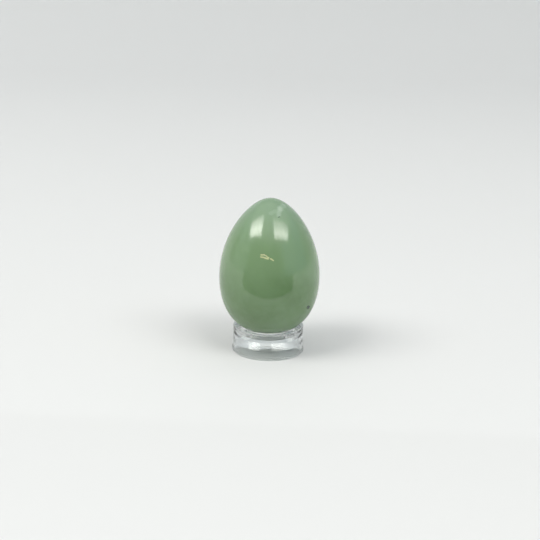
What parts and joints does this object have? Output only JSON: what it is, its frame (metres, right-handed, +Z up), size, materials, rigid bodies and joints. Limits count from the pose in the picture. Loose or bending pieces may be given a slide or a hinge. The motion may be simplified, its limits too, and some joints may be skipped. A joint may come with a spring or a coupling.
{
  "type": "stone egg on ring stand",
  "caption": "Polished stone egg that rests blunt end down in a low clear ring stand and lifts straight out.",
  "frame": {"origin": "middle of the ring stand's underside, on the surface that the object stands on", "axes": "+Z up along the egg's long axis; the object is round, and its front, with the light vein near the tip, faces -Y"},
  "size_m": [0.0352, 0.0352, 0.0548],
  "materials": {
    "green_stone": "polished, slightly translucent, with soft clouds and a white vein",
    "clear_acrylic": "clear, as moulded, slightly wavy"
  },
  "bodies": {
    "stand": {"ring_stand": "clear_acrylic"},
    "egg": {"stone_egg": "green_stone"}
  },
  "joints": [
    {"name": "egg_lift", "type": "slide", "parent": "stand", "child": "egg", "axis": [0, 0, 1], "range_m": [0, 0.045]}
  ]
}
